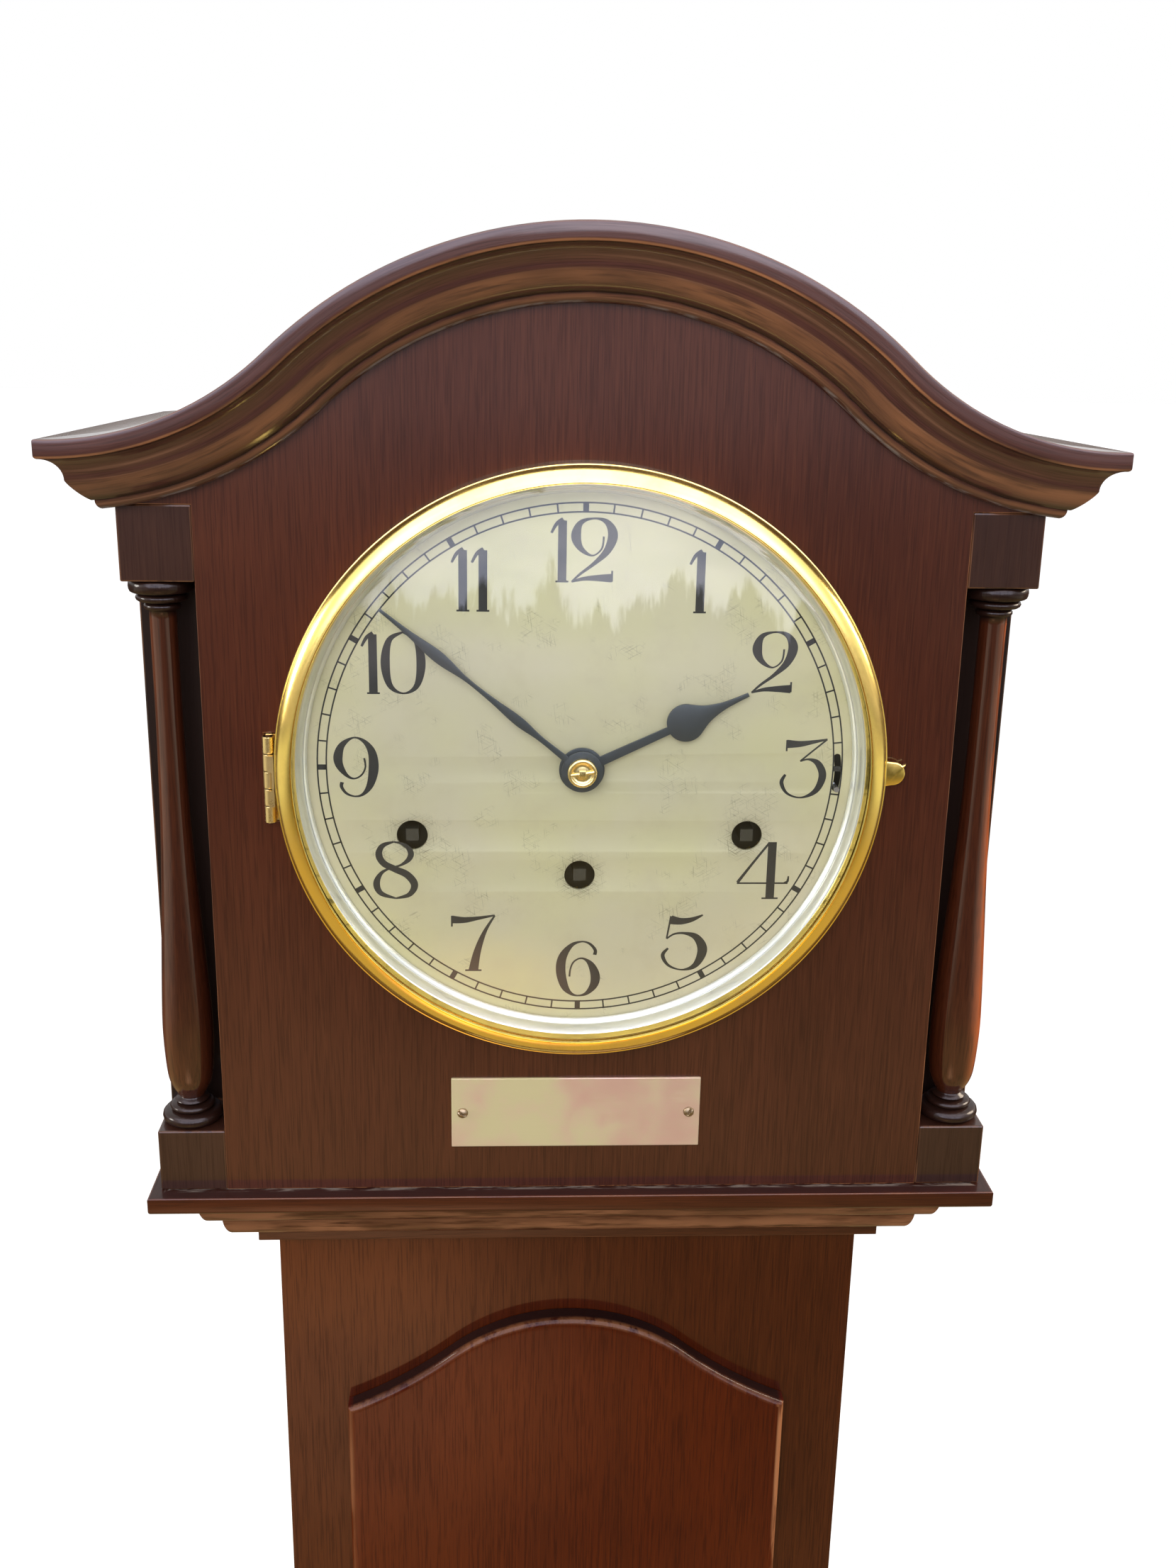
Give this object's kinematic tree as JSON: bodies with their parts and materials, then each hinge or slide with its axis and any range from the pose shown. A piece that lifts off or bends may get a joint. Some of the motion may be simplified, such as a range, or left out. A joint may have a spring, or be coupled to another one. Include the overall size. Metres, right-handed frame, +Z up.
{
  "type": "grandmother clock",
  "caption": "Tall mahogany case clock with an arched hood, turned columns, hinged brass bezel over a silvered dial, lipped trunk door, pendulum and chiming movement.",
  "frame": {"origin": "on the floor under the middle of the case's depth and width", "axes": "+Z up, the dial faces -Y, +X to the viewer's right"},
  "size_m": [0.36, 0.193, 1.482],
  "materials": {
    "mahogany": "dark red-brown mahogany, French polished, worn on the arrises",
    "polished_mahogany": "turned mahogany, high polish",
    "pine": "plain unpolished board, stained",
    "polished_brass": "polished and lacquered brass",
    "brushed_brass": "brushed brass",
    "silvered_brass": "silvered brass, finely brushed",
    "movement_brass": "plain brass sheet",
    "steel": "bright steel",
    "blued_steel": "black-blued steel",
    "glass": "clear flat glass",
    "gong_iron": "iron block with bronze-coloured rods"
  },
  "bodies": {
    "case": {"front_board": "mahogany", "cornice_front": "mahogany", "cornice_left": "mahogany", "cornice_right": "mahogany", "hood_side_left": "mahogany", "hood_side_right": "mahogany", "hood_base_front": "mahogany", "hood_base_left": "mahogany", "hood_base_right": "mahogany", "trunk_front": "mahogany", "trunk_side_left": "mahogany", "trunk_side_right": "mahogany", "plinth_box": "mahogany", "plinth_moulding": "mahogany", "skirting": "mahogany", "column_left": "polished_mahogany", "column_right": "polished_mahogany", "backboard": "pine", "seat_board": "pine", "hood_roof": "pine", "bezel_hinge_fixed": "polished_brass", "door_hinge_upper": "polished_brass", "door_hinge_lower": "polished_brass", "plaque": "brushed_brass", "dial_plate": "silvered_brass", "front_plate": "movement_brass", "back_plate": "movement_brass", "gong": "gong_iron"},
    "bezel_door": {"bezel": "polished_brass", "bezel_glass": "glass", "sight_ring": "silvered_brass", "bezel_catch": "polished_brass", "bezel_hinge_leaf": "polished_brass"},
    "door": {"trunk_door": "mahogany", "door_leaf_upper": "polished_brass", "door_leaf_lower": "polished_brass"},
    "knob": {"door_knob": "polished_brass"},
    "minute": {"minute_hand": "blued_steel", "hand_collet": "polished_brass", "cannon_pinion": "steel"},
    "minute_wheel": {"minute_wheel": "movement_brass"},
    "hour": {"hour_hand": "blued_steel", "hour_wheel": "movement_brass"},
    "lever": {"chime_lever": "steel"},
    "winding_left": {"winding_arbor_left": "steel"},
    "winding_centre": {"winding_arbor_centre": "steel"},
    "winding_right": {"winding_arbor_right": "steel"},
    "spring_left": {"barrel_left": "movement_brass"},
    "spring_centre": {"barrel_centre": "movement_brass"},
    "spring_right": {"barrel_right": "movement_brass"},
    "pendulum": {"pendulum_rod": "steel", "pendulum_bob": "brushed_brass", "anchor": "steel"},
    "nut": {"rating_nut": "brushed_brass"},
    "escapement": {"escape_wheel": "movement_brass"},
    "hammer_1": {"hammer_1": "steel"},
    "hammer_2": {"hammer_2": "steel"},
    "hammer_3": {"hammer_3": "steel"},
    "hammer_4": {"hammer_4": "steel"}
  },
  "joints": [
    {"name": "bezel_swing", "type": "hinge", "parent": "case", "child": "bezel_door", "pos_m": [-0.1114, -0.0789, 1.297], "axis": [0, 0, -1], "range_deg": [0, 110]},
    {"name": "door_swing", "type": "hinge", "parent": "case", "child": "door", "pos_m": [0.0966, -0.0461, 0.71745], "axis": [0, 0, 1], "range_deg": [0, 100]},
    {"name": "knob_turn", "type": "hinge", "parent": "door", "child": "knob", "pos_m": [-0.079, -0.0435, 0.71745], "axis": [0, -1, 0], "range_deg": [0, 90]},
    {"name": "minute_turn", "type": "hinge", "parent": "case", "child": "minute", "pos_m": [0, -0.0765, 1.297], "axis": [0, 1, 0], "continuous": true},
    {"name": "minute_wheel_turn", "type": "hinge", "parent": "case", "child": "minute_wheel", "pos_m": [0.018, -0.0615, 1.297], "axis": [0, 1, 0], "continuous": true},
    {"name": "hour_turn", "type": "hinge", "parent": "case", "child": "hour", "pos_m": [0, -0.0765, 1.297], "axis": [0, 1, 0], "continuous": true},
    {"name": "lever_turn", "type": "hinge", "parent": "case", "child": "lever", "pos_m": [0.0657, -0.0705, 1.2955], "axis": [0, -1, 0], "range_deg": [0, 24]},
    {"name": "winding_left_turn", "type": "hinge", "parent": "case", "child": "winding_left", "pos_m": [-0.0614, -0.0665, 1.2712], "axis": [0, 1, 0], "continuous": true},
    {"name": "winding_centre_turn", "type": "hinge", "parent": "case", "child": "winding_centre", "pos_m": [0, -0.0665, 1.2557], "axis": [0, 1, 0], "continuous": true},
    {"name": "winding_right_turn", "type": "hinge", "parent": "case", "child": "winding_right", "pos_m": [0.0614, -0.0665, 1.2712], "axis": [0, 1, 0], "continuous": true},
    {"name": "barrel_left_turn", "type": "hinge", "parent": "case", "child": "spring_left", "pos_m": [-0.0614, -0.0265, 1.2712], "axis": [0, 1, 0], "continuous": true},
    {"name": "barrel_centre_turn", "type": "hinge", "parent": "case", "child": "spring_centre", "pos_m": [0, -0.0265, 1.2557], "axis": [0, 1, 0], "continuous": true},
    {"name": "barrel_right_turn", "type": "hinge", "parent": "case", "child": "spring_right", "pos_m": [0.0614, -0.0265, 1.2712], "axis": [0, 1, 0], "continuous": true},
    {"name": "pendulum_swing", "type": "hinge", "parent": "case", "child": "pendulum", "pos_m": [0, 0.0225, 1.359], "axis": [0, 1, 0], "range_deg": [-3, 3]},
    {"name": "rating_nut_turn", "type": "hinge", "parent": "pendulum", "child": "nut", "pos_m": [0, 0.0225, 0.686], "axis": [0, 0, 1], "continuous": true},
    {"name": "escape_turn", "type": "hinge", "parent": "case", "child": "escapement", "pos_m": [0, -0.006, 1.33072], "axis": [0, 1, 0], "continuous": true},
    {"name": "hammer_1_lift", "type": "hinge", "parent": "case", "child": "hammer_1", "pos_m": [0.042, 0.0275, 1.243], "axis": [-1, 0, 0], "range_deg": [0, 14], "stiffness_Nm_per_rad": 0.02, "springref_deg": -20.05},
    {"name": "hammer_2_lift", "type": "hinge", "parent": "case", "child": "hammer_2", "pos_m": [0.054, 0.0275, 1.243], "axis": [-1, 0, 0], "range_deg": [0, 14], "stiffness_Nm_per_rad": 0.02, "springref_deg": -20.05},
    {"name": "hammer_3_lift", "type": "hinge", "parent": "case", "child": "hammer_3", "pos_m": [0.066, 0.0275, 1.243], "axis": [-1, 0, 0], "range_deg": [0, 14], "stiffness_Nm_per_rad": 0.02, "springref_deg": -20.05},
    {"name": "hammer_4_lift", "type": "hinge", "parent": "case", "child": "hammer_4", "pos_m": [0.078, 0.0275, 1.243], "axis": [-1, 0, 0], "range_deg": [0, 14], "stiffness_Nm_per_rad": 0.02, "springref_deg": -20.05}
  ],
  "couplings": [
    {"joint": "minute_wheel_turn", "follows": "minute_turn", "ratio": -0.33333},
    {"joint": "hour_turn", "follows": "minute_turn", "ratio": 0.083333}
  ]
}
